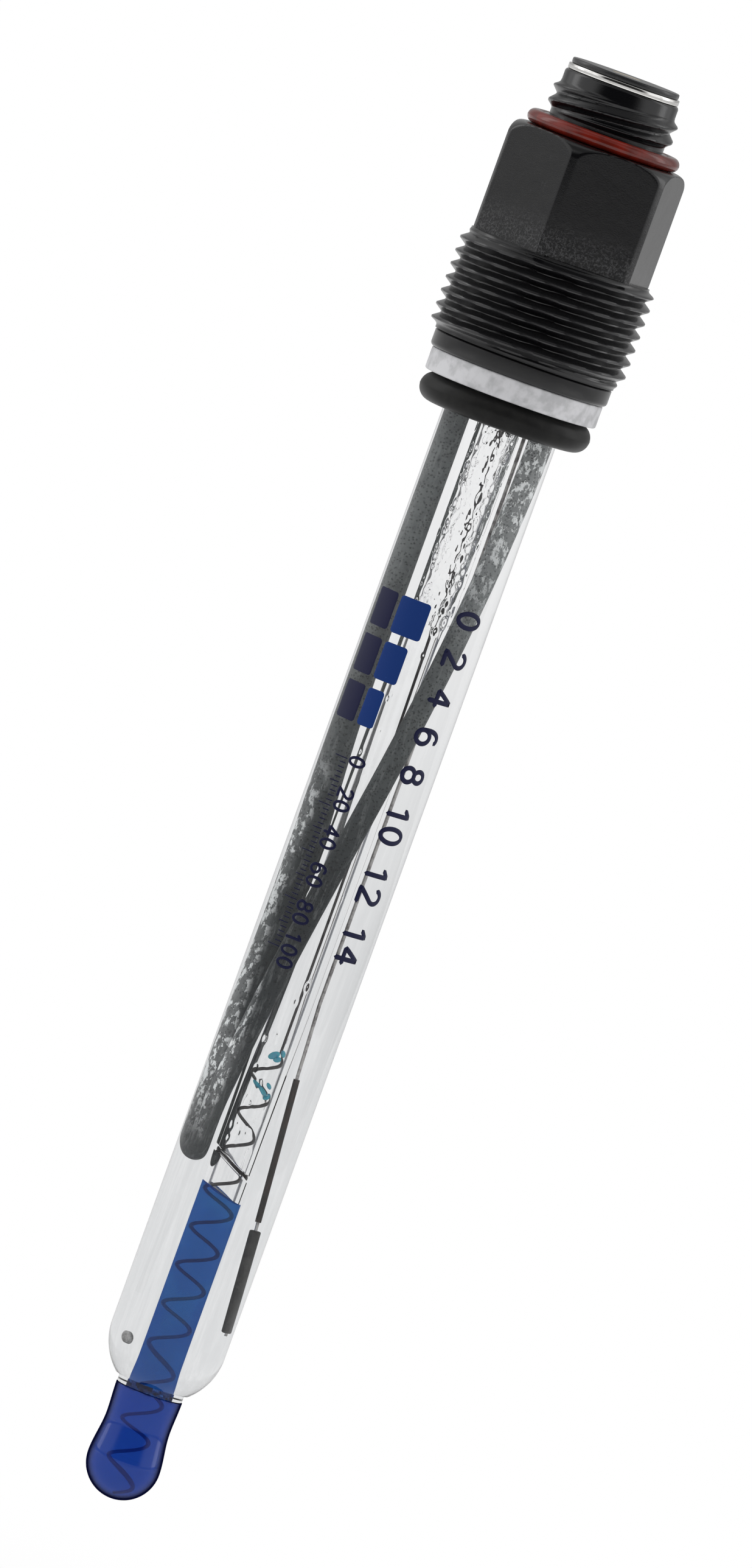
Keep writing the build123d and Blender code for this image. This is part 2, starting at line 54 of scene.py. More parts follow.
# Glass shaft, neck and stem
SHAFT_RADIUS = 6.0
SHAFT_BORE_RADIUS = 5.27
GLASS_TOP = 16.0
GEL_TOP = 5.98
STEM_TOP = 14.0
STEM_RADIUS = 1.93
STEM_BORE = 1.6
STOPPER_BORE = 1.62
SHOULDER_START = -102.92
SHOULDER_CURVE = 6.5
SHOULDER_END_RADIUS = 3.9
NECK_TOP = -107.7
NECK_RADIUS = 3.45
BULB_TOP = -108.6
SEAM_GAP = 0.02

# Bulb and blue filling
TIP = -120.0
BULB_RADIUS = 3.8
BULB_TOP_RADIUS = 3.5
BULB_WAIST_RADIUS = 3.375
BULB_WAIST = -111.9
MEMBRANE = 0.3
FOOT_BORE = 1.75
FLARE_LOW = -107.39
FLARE_HIGH = -104.59
FILLING_TOP = -87.3
FILLING_SLOPE = math.tan(math.radians(20.0))
FILM_LEVEL = -83.9
FILM_SLOPE = 0.67
FILM_THICKNESS = 0.22
SURFACE_RISE = 0.25
RISE_POWER = 6

# Ink on the shaft, and a digit's width and step as shares of its height
INK_GAP = 0.004
INK_THICKNESS = 0.03
DIGIT_WIDTH = 0.6
DIGIT_STEP = 0.84

# Head
SOCKET_RADIUS = 6.25
COLLAR_RADIUS = 9.35
COLLAR_CHAMFER = 0.4
THREAD_LOW = 2.0
THREAD_HIGH = 12.55
THREAD_ROOT = 9.45
THREAD_CREST = 10.2
THREAD_PHASE = 0.305
THREAD_TRIM = 0.1
THREAD_FLANK = 0.76
HEX_HIGH = 24.3
HEX_FLAT = 8.5
HEX_CORNER = 0.8
HEX_TURN_RADIUS = 9.6
HEX_SHOULDER = 1.6
HEX_FIRST_CORNER = math.radians(-13.0)
HEX_HALF_SIDE = math.pi / 6
NECK_SEAT_RADIUS = 6.5
PLUG_LOW = 26.1
PLUG_HIGH = 29.4
PLUG_ROOT = 6.02
PLUG_CREST = 6.6
PLUG_STARTS = 2
PLUG_PHASE = 0.055
PLUG_COLLAR_RADIUS = 6.0
PLUG_CHAMFER = 0.3
RIM = 30.7
PASSAGE_RADIUS = 3.5
PASSAGE_LOW = 20.6
SOCKET_TOP = 18.0


def ramp(values, low, high):
    """How far the values are from low to high, as 0 to 1 with soft ends: 3t^2 - 2t^3."""
    t = np.clip((values - low) / (high - low), 0.0, 1.0)
    return t * t * (3 - 2 * t)


def turn_angles(columns):
    """Evenly spaced angles of a full turn, without the last one, which is the first again."""
    return np.arange(columns) * (FULL_TURN / columns)


def around(radius, angle, z):
    """Points in metres at a radius, at an angle from the front, at a height: (r sin a, -r cos a, z)."""
    radius, angle, z = np.broadcast_arrays(radius, angle, z)
    return np.stack([radius * np.sin(angle), -radius * np.cos(angle), z], axis=-1) * MM


def turned(outline, columns):
    """A (radius, height) outline carried once round the axis, as a grid of points."""
    return around(outline[:, :1], turn_angles(columns)[None], outline[:, 1:])


def patch_faces(rows, columns, first, close_rows, close_columns):
    """The four-sided faces of a grid of rows and columns, numbered from first, as one array of indices."""
    down = np.arange(rows if close_rows else rows - 1)
    across = np.arange(columns if close_columns else columns - 1)
    i, j = (block.ravel() for block in np.meshgrid(down, across, indexing="ij"))
    ii, jj = (i + 1) % rows, (j + 1) % columns
    return first + np.stack([i * columns + j, i * columns + jj, ii * columns + jj, ii * columns + j], axis=1)


def scene_object(name, data):
    """A new object in the scene."""
    made = bpy.data.objects.new(name, data)
    bpy.context.scene.collection.objects.link(made)
    return made


class Shell:
    """The vertices and faces of one piece, gathered from several grids of points."""

    def __init__(self):
        self.points, self.faces, self.slots = [], [], []
        self.count = 0

    def grid(self, points, close_rows=False, close_columns=True, poles=(None, None), slots=0, flip=False):
        """Adds a grid of points (rows, columns, 3). A pole is one point that closes the first or last row."""
        rows, columns = points.shape[:2]
        first = self.count
        quads = patch_faces(rows, columns, first, close_rows, close_columns)
        wide = columns if close_columns else columns - 1
        row_slots = np.broadcast_to(slots, rows)[: len(quads) // wide]
        self.faces.append(quads[:, ::-1] if flip else quads)
        self.slots.append(np.repeat(row_slots, wide))
        self.points.append(points.reshape(-1, 3))
        self.count += rows * columns
        for pole, row, turned in ((poles[0], 0, True), (poles[1], rows - 1, False)):
            if pole is None:
                continue
            ring = first + row * columns + np.arange(columns)
            after = np.roll(ring, -1)
            tip = np.full(columns, self.count)
            self.faces.append(np.stack([tip, after, ring] if turned != flip else [ring, after, tip], axis=1))
            self.slots.append(np.full(columns, row_slots[0] if turned else row_slots[-1]))
            self.points.append(np.reshape(pole, (1, 3)))
            self.count += 1
        return self

    def piece(self, name, finishes, sharp_degrees=None):
        """Makes the piece: one object at the origin that rides on the root body."""
        mesh = bpy.data.meshes.new(name)
        faces = [face for part in self.faces for face in part.tolist()]
        mesh.from_pydata(np.concatenate(self.points).tolist(), [], faces)
        mesh.polygons.foreach_set("material_index", np.concatenate(self.slots).astype(np.int32))
        for finish in finishes:
            mesh.materials.append(finish)
        mesh.shade_smooth()
        if sharp_degrees:
            mesh.set_sharp_from_angle(angle=math.radians(sharp_degrees))
        mesh.validate()
        mesh.update()
        made = scene_object(name, mesh)
        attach(made, "root")
        return made


def rounded_profile(points, radius, steps=5):
    """A closed (radius, height) outline with its corners rounded by quadratic curves of the given reach."""
    corners = np.asarray(points, float)
    before, after = np.roll(corners, 1, axis=0) - corners, np.roll(corners, -1, axis=0) - corners
    far_before, far_after = (np.linalg.norm(side, axis=1)[:, None] for side in (before, after))
    reach = np.minimum(radius, 0.45 * np.minimum(far_before, far_after))
    start, end = corners + before / far_before * reach, corners + after / far_after * reach
    t = np.linspace(0, 1, steps)[None, :, None]
    curve = (1 - t) ** 2 * start[:, None] + 2 * t * (1 - t) * corners[:, None] + t ** 2 * end[:, None]
    return curve.reshape(-1, 2)


def ring_piece(name, points, edge, finish):
    """A turned ring, from its (radius, height) outline and the reach of its rounded edges."""
    rings = turned(rounded_profile(points, edge)[::-1], 160)
    return Shell().grid(rings, close_rows=True, flip=True).piece(name, [finish], 50)


def operator(operation, swapped=False):
    """A Python operator that adds one Math node, with its terms swapped or not."""
    return lambda one, other: one.recipe.math(operation, *((other, one) if swapped else (one, other)))


class Value:
    """A number in a material. Python's operators on it add Math nodes to the material."""

    __add__, __sub__, __mul__, __pow__ = (operator(name) for name in ("ADD", "SUBTRACT", "MULTIPLY", "POWER"))
    __radd__, __rsub__, __rmul__ = (operator(name, True) for name in ("ADD", "SUBTRACT", "MULTIPLY"))

    def __init__(self, recipe, socket):
        self.recipe = recipe
        self.socket = socket

    def between(self, low, high):
        """0 below low, 1 above high and a soft step from one to the other."""
        made = self.recipe.node("ShaderNodeMapRange", {"Value": self, "From Min": low, "From Max": high},
                                interpolation_type="SMOOTHSTEP")
        return Value(self.recipe, made.outputs["Result"])

    def highest(self, other):
        """The larger of two numbers."""
        return self.recipe.math("MAXIMUM", self, other)


class Recipe:
    """The nodes of one material, or of the world."""

    def __init__(self, owner):
        owner.use_nodes = True
        self.owner, self.tree = owner, owner.node_tree
        self.tree.nodes.clear()

    def node(self, kind, sockets=None, **settings):
        """One node of a kind: first its settings, then the values or links of its sockets."""
        made = self.tree.nodes.new(kind)
        for key, value in settings.items():
            setattr(made, key, value)
        for key, value in (sockets or {}).items():
            if isinstance(value, Value):
                value = value.socket
            if isinstance(value, bpy.types.NodeSocket):
                self.tree.links.new(value, made.inputs[key])
            else:
                made.inputs[key].default_value = value
        return made

    def math(self, operation, *terms):
        """A Math node on two terms, either of which may be a plain number."""
        made = self.node("ShaderNodeMath", dict(enumerate(terms)), operation=operation)
        return Value(self, made.outputs[0])

    def place(self, stretch=(1, 1, 1)):
        """The place on the object, in metres, stretched per axis."""
        where = self.node("ShaderNodeTexCoord").outputs["Object"]
        return self.node("ShaderNodeMapping", {"Vector": where, "Scale": stretch}).outputs[0]

    def noise(self, per_mm, detail=3.0, roughness=0.55, stretch=(1, 1, 1)):
        """Cloudy noise with so many features to the millimetre, around 0.5."""
        made = self.node("ShaderNodeTexNoise", {"Vector": self.place(stretch), "Scale": per_mm / MM,
                                                "Detail": detail, "Roughness": roughness})
        return Value(self, made.outputs["Fac"])

    def cells(self, per_mm):
        """Distance to the nearest of many scattered points, with so many points to the millimetre."""
        made = self.node("ShaderNodeTexVoronoi", {"Vector": self.place(), "Scale": per_mm / MM})
        return Value(self, made.outputs["Distance"])

    def parts(self, vector, *axes):
        """The parts of a vector along the named axes."""
        apart = self.node("ShaderNodeSeparateXYZ", {"Vector": vector})
        return [Value(self, apart.outputs[axis]) for axis in axes]

    def height(self):
        """The height of the point in millimetres."""
        return self.parts(self.place(), "Z")[0] * (1 / MM)

    def out_from_axis(self):
        """The distance of the point from the axis in millimetres."""
        x, y = self.parts(self.place(), "X", "Y")
        return (x * x + y * y) ** 0.5 * (1 / MM)

    def rays(self, *kinds):
        """For each kind of ray 1 where such a ray arrives, or 0."""
        path = self.node("ShaderNodeLightPath")
        return [Value(self, path.outputs[f"Is {kind} Ray"]) for kind in kinds]

    def facing(self):
        """How far the glass is seen edge on: 0 facing the eye, 1 at its outline."""
        return Value(self, self.node("ShaderNodeLayerWeight").outputs["Facing"])

    def layer(self, under, over, amount):
        """A colour covered by a second plain colour, by an amount."""
        return self.node("ShaderNodeMix", {0: amount, 6: under, 7: (*over, 1)}, data_type="RGBA").outputs[2]

    def tint(self, first, second, amount):
        """A colour that runs from the first plain colour to the second."""
        return self.layer((*first, 1), second, amount)

    def bump(self, height, depth_mm, strength, normal=None):
        """A Bump node from a height of 0 to 1 and the depth that it stands for."""
        sockets = {"Height": height, "Distance": depth_mm * MM, "Strength": strength}
        if normal:
            sockets["Normal"] = normal
        return self.node("ShaderNodeBump", sockets).outputs[0]

    def surface(self, **sockets):
        """The main shader, with its sockets given by name, underscores for spaces."""
        named = {key.replace("_", " "): value for key, value in sockets.items()}
        return self.node("ShaderNodeBsdfPrincipled", named).outputs[0]

    def clear(self, colour):
        """A shader that lets everything straight through, tinted."""
        return self.node("ShaderNodeBsdfTransparent", {"Color": (*colour, 1)}).outputs[0]

    def blend(self, first, second, amount):
        """A Mix Shader."""
        return self.node("ShaderNodeMixShader", {0: amount, 1: first, 2: second}).outputs[0]

    def lets_light_in(self, glass, colour):
        """The glass, but straight through for the light that falls on what is inside it."""
        shadow, diffuse = self.rays("Shadow", "Diffuse")
        return self.blend(glass, self.clear(colour), shadow.highest(diffuse))

    def end(self, shader):
        """Joins the shader to the output, which ends the material."""
        self.node("ShaderNodeOutputMaterial", {"Surface": shader})
        return self.owner

    def paint(self, **sockets):
        """Ends with the main shader alone."""
        return self.end(self.surface(**sockets))


def new_finish(name):
    """The recipe of a new material."""
    return Recipe(bpy.data.materials.new(name))


def head_plastic(colours):
    """Satin black moulding: fine grain, cloudy gloss and paler scuffs, with painted highlights: thread crests a
    little paler and pale specks low on the hexagon's flats."""
    recipe = new_finish("head_plastic")
    cloud = recipe.noise(0.35, 4.0)
    grain = recipe.noise(9.0, 2.0)
    scuffs = recipe.noise(2.2, 5.0, 0.7, (1, 1, 0.25)).between(0.6, 0.78)
    # Painted highlight: the thread crests are made paler, standing in for the thin light lines that reflections
    # leave on them.
    crests = recipe.out_from_axis().between(9.95, 10.22)
    height = recipe.height()
    # Painted highlight: pale specks low on the hexagon's flats, for the speckled glints seen there.
    flats = height.between(17.5, 12.8) * height.between(12.5, 12.7) * recipe.noise(4.0, 4.0, 0.8).between(0.47, 0.6)
    # pale adds the scuffs, which are wear, to the two painted highlights.
    pale = crests * 0.15 + scuffs * 0.15 + flats * 0.8
    colour = recipe.tint(colours.head, (0.05, 0.05, 0.052), pale)
    normal = recipe.bump(cloud, 0.06, 0.3, recipe.bump(grain, 0.012, 0.5))
    return recipe.paint(Base_Color=colour, Roughness=0.1 + cloud * 0.12 + scuffs * 0.12, Normal=normal)


def gloss_plastic(name, colour, worn):
    """Smooth dark plastic with a faint turned grain and small handling marks."""
    recipe = new_finish(name)
    rings = recipe.noise(6.0, 2.0, 0.5, (1, 1, 4))
    marks = recipe.noise(1.6, 5.0, 0.75).between(0.58, 0.74)
    return recipe.paint(
        Base_Color=recipe.tint(colour, worn, marks * 0.6), Roughness=0.24 + marks * 0.25,
        Normal=recipe.bump(rings, 0.01, 0.3))


def turned_metal(name, colour, dull, roughness=0.05):
    """Polished metal with turning rings, small scratches and a duller bloom in patches."""
    recipe = new_finish(name)
    rings = recipe.math("SINE", recipe.out_from_axis() * 90.0) * 0.5 + 0.5
    bloom = recipe.noise(0.9, 4.0, 0.6).between(0.45, 0.75)
    scratches = recipe.noise(5.0, 3.0, 0.7, (1, 0.2, 1)).between(0.62, 0.7)
    return recipe.paint(
        Base_Color=recipe.tint(colour, dull, bloom * 0.6), Metallic=1.0,
        Roughness=roughness + bloom * 0.08 + scratches * 0.1, Normal=recipe.bump(rings, 0.002, 0.15))


def seal_rubber(name, colour, dark, gloss, shine):
    """Moulded rubber: even colour with small clouds, a soft sheen and a fine skin."""
    recipe = new_finish(name)
    cloud = recipe.noise(0.6, 4.0)
    skin = recipe.noise(11.0, 3.0)
    dust = recipe.noise(3.4, 4.0, 0.75).between(0.63, 0.76)
    colour = recipe.layer(recipe.tint(colour, dark, cloud.between(0.35, 0.7)), (0.32, 0.31, 0.3), dust * 0.06)
    return recipe.paint(
        Base_Color=colour, Roughness=gloss + cloud * 0.12 + dust * 0.12, Specular_IOR_Level=shine,
        Normal=recipe.bump(skin, 0.012, 0.4))


def washer_plastic(colours):
    """Pale waxy plastic: milky clouds, faint turning lines and grey handling marks."""
    recipe = new_finish("washer_plastic")
    cloud = recipe.noise(0.6, 3.0)
    lines = recipe.noise(1.0, 2.0, 0.5, (1, 1, 14))
    marks = recipe.noise(1.7, 5.0, 0.72).between(0.6, 0.75)
    pale = tuple(min(1.0, part * 1.4) for part in colours.washer)
    milky = recipe.tint(colours.washer, pale, cloud.between(0.36, 0.62))
    colour = recipe.layer(milky, (0.22, 0.22, 0.225), marks * 0.3)
    return recipe.paint(
        Base_Color=colour, Roughness=0.42 + cloud * 0.14, Subsurface_Weight=0.12,
        Subsurface_Radius=(0.6 * MM,) * 3, Subsurface_Scale=1.0, Normal=recipe.bump(lines, 0.02, 0.3))


def clear_glass(name, tint, dark, low, high, index=1.4, lower_tint=None, clear_rim=True):
    """Clear glass that darkens where it is seen edge on, from low to high on the way to its outline. The lower
    end may be greyer, as the gel behind it is, with faint paler upright streaks that are painted highlights."""
    recipe = new_finish(name)
    edge = recipe.facing().between(low, high)
    colour = (*tint, 1)
    if lower_tint:
        # Painted highlight: faint paler upright streaks in the lower end's grey.
        streaks = recipe.noise(1.1, 4.0, 0.7, (1, 1, 0.06)).between(0.42, 0.68)
        depth = recipe.height().between(-5.0, -75.0) * (1 - streaks * 0.55)
        colour = recipe.tint(tint, lower_tint, depth)
    glass = recipe.surface(Base_Color=colour, Roughness=0.0, IOR=index, Transmission_Weight=1.0,
                           Specular_IOR_Level=0.2)
    rim = recipe.surface(Base_Color=(*dark, 1), Roughness=0.0 if clear_rim else 0.5, IOR=index,
                         Transmission_Weight=float(clear_rim), Specular_IOR_Level=0.5 if clear_rim else 0.0)
    return recipe.end(recipe.lets_light_in(recipe.blend(glass, rim, edge), tint))


def blue_liquid(colours):
    """Clear blue liquid without a surface of its own, since the glass round it bends the light alike, with dark
    ripples where the stem's foot meets the bulb."""
    recipe = new_finish("blue_filling")
    swirl = recipe.noise(0.25, 3.0)
    height = recipe.height()
    neck = height.between(-108.9, -108.5) * (1 - height.between(-108.0, -107.5))
    seam = neck * recipe.noise(1.3).between(0.42, 0.54)
    low = height.between(-92.0, -107.0)
    blue = recipe.tint(colours.filling, colours.filling_pale, swirl.between(0.42, 0.68) * (1 - low * 0.7))
    body = recipe.surface(Base_Color=recipe.layer(blue, (0.002, 0.004, 0.03), seam),
                          Roughness=0.3 + swirl * 0.1, Specular_IOR_Level=0.0)
    density = colours.filling_density + low * 0.12 + seam * 0.55
    return recipe.end(recipe.blend(recipe.clear(colours.filling_clear), body, density))


def cord_foam(colours):
    """Grey closed-cell rubber: dark pores and a soft uneven skin, with thin near-white lines painted in as
    highlights.
    """
    recipe = new_finish("cord_foam")
    side = recipe.parts(recipe.place(), "X")[0] * (1 / MM)
    height = recipe.height()
    pores = 1 - recipe.cells(3.6).between(0.12, 0.42)
    cloud = recipe.noise(1.1, 4.0)
    streaks = recipe.noise(2.6, 4.0, 0.7, (1, 1, 0.12)).between(0.5, 0.66)
    highlight_line_noise = recipe.noise(1.4, 5.0, 0.75, (1, 1, 0.5))
    upper = height.between(-30.0, -8.0) * side.between(0.5, 2.2)
    lower = height.between(-40.0, -52.0) * side.between(-2.7, -3.4) * height.between(-84.0, -75.0)
    # Painted highlight: thin near-white lines in the upper patch on the right and the lower patch on the left, which
    # also raise the bump a little.
    highlight_lines = highlight_line_noise.between(0.51, 0.55) * (upper + lower)
    colour = recipe.tint(colours.cord, colours.cord_pale,
                         height.between(-58.0, -24.0) * (0.55 + 0.45 * cloud.between(0.2, 0.6)) + upper * 0.5)
    # Layers: a paler grey in the two patches and the streaks, the dark pores, then the near-white painted highlight
    # lines.
    for over, amount in (((0.27, 0.28, 0.28), upper * 0.75 + lower * 0.35 + streaks * 0.25),
                         ((0.012, 0.013, 0.014), pores * 0.5), ((0.88, 0.9, 0.9), highlight_lines * 0.9)):
        colour = recipe.layer(colour, over, amount)
    return recipe.paint(
        Base_Color=colour, Roughness=0.5 + cloud * 0.2, Specular_IOR_Level=0.15,
        Normal=recipe.bump(cloud + highlight_lines * 0.5 - pores * 0.8, 0.12, 0.8))


def fine_wire(name, colour, dull, roughness):
    """Drawn wire with lengthwise draw lines and a patchy oxide bloom."""
    recipe = new_finish(name)
    lines = recipe.noise(8.0, 2.0, 0.5, (1, 1, 0.08))
    bloom = recipe.noise(1.4, 4.0, 0.65).between(0.4, 0.7)
    return recipe.paint(
        Base_Color=recipe.tint(colour, dull, bloom), Metallic=0.85 - bloom * 0.5, Roughness=roughness + bloom * 0.25,
        Normal=recipe.bump(lines, 0.01, 0.3))


def grain_finish(name, colour, second, per_mm, depth_mm, roughness, gloss=0.3):
    """A dull finish of two mixed tones with a grain, for cast, sintered and moulded inner parts."""
    recipe = new_finish(name)
    grain = recipe.noise(per_mm, 4.0, 0.65)
    cloud = recipe.noise(per_mm * 0.2, 3.0)
    mixed = (grain * 0.6 + cloud * 0.4).between(0.38, 0.64)
    return recipe.paint(
        Base_Color=recipe.tint(colour, second, mixed), Roughness=roughness + cloud * 0.15, Specular_IOR_Level=gloss,
        Normal=recipe.bump(grain, depth_mm, 0.6))


def printed_ink(name, colour):
    """Fired ink: solid colour with small thin spots and a slightly uneven edge gloss."""
    recipe = new_finish(name)
    thin = recipe.noise(7.0, 4.0, 0.7).between(0.62, 0.78)
    lighter = tuple(min(1.0, part * 1.6 + 0.02) for part in colour)
    return recipe.paint(
        Base_Color=recipe.tint(colour, lighter, thin), Roughness=0.34 + thin * 0.2, Specular_IOR_Level=0.15,
        Normal=recipe.bump(recipe.noise(14.0), 0.006, 0.4))


def droplet_finish(colours):
    """Small teal drops of the filling on the bore's wall."""
    recipe = new_finish("droplet_liquid")
    cloud = recipe.noise(3.0, 2.0)
    body = recipe.surface(Base_Color=recipe.tint(colours.droplet, (0.02, 0.2, 0.33), cloud.between(0.4, 0.65)),
                          Roughness=0.12 + cloud * 0.1)
    return recipe.end(recipe.blend(recipe.clear((0.45, 0.85, 0.9)), body, 0.62))


def corner_angle(angle):
    """The angle from the hexagon's nearest corner."""
    return (angle - HEX_FIRST_CORNER + HEX_HALF_SIDE) % (2 * HEX_HALF_SIDE) - HEX_HALF_SIDE


def hexagon_radius(angle):
    """A hexagon's distance from its axis at an angle, with its corners rounded: on a flat d/cos(a), on a
    corner the far side of a circle of the corner's radius."""
    from_corner = corner_angle(angle)
    flat = HEX_FLAT / np.cos(HEX_HALF_SIDE - np.abs(from_corner))
    centre = (HEX_FLAT - HEX_CORNER) / math.cos(HEX_HALF_SIDE)
    across = centre * np.sin(from_corner)
    corner = centre * np.cos(from_corner) + np.sqrt(np.maximum(HEX_CORNER ** 2 - across ** 2, 0.0))
    return np.where(np.abs(across) < HEX_CORNER * math.sin(HEX_HALF_SIDE), np.minimum(flat, corner), flat)


def thread_radius(angle, z, low, high, root, crest, pitch, starts, phase):
    """A right-handed thread: a trimmed triangle wave of (z/pitch - starts * turn) between root and crest,
    which fades out at both ends."""
    wave = 1 - np.abs(2 * ((z / pitch - starts * angle / FULL_TURN + phase) % 1.0) - 1)
    tooth = np.clip((wave - THREAD_TRIM) / THREAD_FLANK, 0.0, 1.0)
    fade = ramp(z, low, low + 0.5 * pitch) * (1 - ramp(z, high - 0.5 * pitch, high))
    return root + (crest - root) * tooth * fade


def head_angles(columns):
    """Angles of a full turn, packed closer together near the hexagon's corners."""
    fine = np.linspace(0, FULL_TURN, 7201)
    density = 1 + 3.5 * np.exp(-((corner_angle(fine) / math.radians(3.2)) ** 2))
    total = np.concatenate([[0], np.cumsum((density[1:] + density[:-1]) / 2)])
    return np.interp(np.arange(columns) / columns * total[-1], total, fine)


def head_surface(sizes):
    """The head as rings of points: collar, threads, hexagon and plug outside, then back down the socket."""
    angle = head_angles(280)[None]
    rings = []

    def add_rings(radius, z):
        radius = np.asarray(radius, float)
        radius = radius[:, None] if radius.ndim == 1 else radius
        rings.append(around(radius, angle, np.asarray(z, float)[:, None]))

    add_rings([SOCKET_RADIUS, COLLAR_RADIUS - COLLAR_CHAMFER], [0, 0])
    bevel = np.linspace(0, math.pi / 2, 5)[1:]
    add_rings(COLLAR_RADIUS - COLLAR_CHAMFER * (1 - np.sin(bevel)), COLLAR_CHAMFER * (1 - np.cos(bevel)))
    add_rings([COLLAR_RADIUS, COLLAR_RADIUS - 0.08, COLLAR_RADIUS - 0.3],
              [THREAD_LOW - 0.35, THREAD_LOW - 0.25, THREAD_LOW - 0.2])
    z = np.linspace(THREAD_LOW - 0.15, THREAD_HIGH, 122)
    add_rings(thread_radius(angle, z[:, None], THREAD_LOW, THREAD_HIGH - 0.1, THREAD_ROOT, THREAD_CREST,
                            sizes.process_pitch / MM, 1, THREAD_PHASE), z)
    z = np.concatenate([THREAD_HIGH + 0.02 + np.array([0, 0.12, 5.0]),
                        HEX_HIGH - HEX_SHOULDER * (1 - np.sin(np.linspace(0, math.pi / 2, 16)))])
    over = np.clip(z - (HEX_HIGH - HEX_SHOULDER), 0, None)
    turned = HEX_TURN_RADIUS - HEX_SHOULDER + np.sqrt(np.maximum(HEX_SHOULDER ** 2 - over ** 2, 0))
    add_rings(np.minimum(hexagon_radius(angle), turned[:, None]), z)
    add_rings([NECK_SEAT_RADIUS, NECK_SEAT_RADIUS], [HEX_HIGH, PLUG_LOW - 0.4])
    z = np.linspace(PLUG_LOW - 0.3, PLUG_HIGH, 44)
    add_rings(thread_radius(angle, z[:, None], PLUG_LOW, PLUG_HIGH, PLUG_ROOT, PLUG_CREST,
                            sizes.plug_pitch / MM, PLUG_STARTS, PLUG_PHASE), z)
    add_rings([PLUG_COLLAR_RADIUS, PLUG_COLLAR_RADIUS, PLUG_COLLAR_RADIUS - 0.1,
               PLUG_COLLAR_RADIUS - PLUG_CHAMFER],
              [PLUG_HIGH + 0.05, RIM - PLUG_CHAMFER, RIM - 0.1, RIM])
    add_rings([PASSAGE_RADIUS, PASSAGE_RADIUS, SOCKET_RADIUS, SOCKET_RADIUS],
              [RIM, PASSAGE_LOW, SOCKET_TOP, 2.0])
    return np.concatenate(rings)


def shoulder_profile(steps=26):
    """The neck's shoulder as (radius, height) points on a circle that is tangent to the shaft."""
    sweep = math.acos(1 - (SHAFT_RADIUS - SHOULDER_END_RADIUS) / SHOULDER_CURVE)
    turn = np.linspace(sweep, 0, steps)
    radius = SHAFT_RADIUS - SHOULDER_CURVE * (1 - np.cos(turn))
    return np.stack([radius, SHOULDER_START - SHOULDER_CURVE * np.sin(turn)], axis=1)


def bulb_profile(inset, steps=22):
    """The bulb as (radius, height) points from its tip up: a half circle, then two soft steps in radius."""
    ball = BULB_RADIUS - inset
    turn = np.linspace(0, math.pi / 2, steps)[1:]
    low = np.stack([ball * np.sin(turn), TIP + BULB_RADIUS - ball * np.cos(turn)], axis=1)
    z = np.linspace(TIP + BULB_RADIUS, BULB_TOP, steps)[1:]
    to_waist = BULB_RADIUS + (BULB_WAIST_RADIUS - BULB_RADIUS) * ramp(z, TIP + BULB_RADIUS, BULB_WAIST)
    radius = to_waist + (BULB_TOP_RADIUS - BULB_WAIST_RADIUS) * ramp(z, BULB_WAIST, BULB_TOP)
    return np.concatenate([low, np.stack([radius - inset, z], axis=1)])


def wet_bore(angle, z, sizes):
    """The bore's radius with drops of liquid on its wall: each drop is a cap (1 - d^2)^2 of its height over
    its own reach, and the tallest counts."""
    random = np.random.default_rng(sizes.drop_seed)
    height = 0.0
    zones = [(760, -27.0, -3.0, 0.14, 0.36), (60, -84.0, -25.0, 0.12, 0.3), (44, -83.4, -70.0, 0.14, 0.42)]
    for count, low, high, small, large in zones:
        for _ in range(count):
            centre = random.normal(0, 0.62) + math.pi * random.integers(0, 2), random.uniform(low, high)
            reach = random.uniform(small, large)
            tall = reach * random.uniform(0.45, 0.75)
            long = random.uniform(0.8, 2.2)
            across = ((angle - centre[0] + math.pi) % FULL_TURN - math.pi) * STEM_BORE
            apart = (across / reach) ** 2 + ((z - centre[1]) / (reach * long)) ** 2
            height = np.maximum(height, tall * np.clip(1 - apart, 0, 1) ** 2)
    return STEM_BORE - height


def liquid_surface(level, slope, share, angle, rise=SURFACE_RISE):
    """A sloping liquid surface at shares of the stem's bore, which climbs at the wall:
    level - slope * x + rise * (r / bore)^n."""
    radius = share[:, None] * STEM_BORE
    return around(radius, angle, level - slope * radius * np.sin(angle) + rise * (radius / STEM_BORE) ** RISE_POWER)


def digit_strokes(digit):
    """The strokes of one of the plain numerals in use, in a box 0.6 wide and 1 high, as arrays of points."""

    def arc(cx, cy, rx, ry, start, end, steps=18):
        turn = np.radians(np.linspace(start, end, steps))
        return np.stack([cx + rx * np.cos(turn), cy + ry * np.sin(turn)], axis=1)

    shapes = {
        "0": [arc(0.3, 0.5, 0.27, 0.5, 90, 450, 36)],
        "1": [np.array([(0.1, 0.78), (0.34, 1.0), (0.34, 0.0)])],
        "2": [np.concatenate([arc(0.3, 0.73, 0.26, 0.27, 165, -35), [(0.03, 0.0), (0.58, 0.0)]])],
        "4": [np.array([(0.44, 0.0), (0.44, 1.0), (0.02, 0.3), (0.6, 0.3)])],
        "6": [np.concatenate([arc(0.32, 0.52, 0.29, 0.48, 60, 180), arc(0.31, 0.3, 0.27, 0.3, 180, 540, 30)])],
        "8": [arc(0.3, 0.76, 0.22, 0.24, 270, -90, 28), arc(0.3, 0.27, 0.27, 0.27, 90, 450, 28)],
    }
    return shapes[digit]


def even_steps(path, step):
    """The path with its points spaced evenly, no further apart than the step."""
    lengths = np.concatenate([[0], np.cumsum(np.linalg.norm(np.diff(path, axis=0), axis=1))])
    where = np.linspace(0, lengths[-1], max(4, math.ceil(lengths[-1] / step) + 1))
    return np.stack([np.interp(where, lengths, path[:, axis]) for axis in (0, 1)], axis=1)


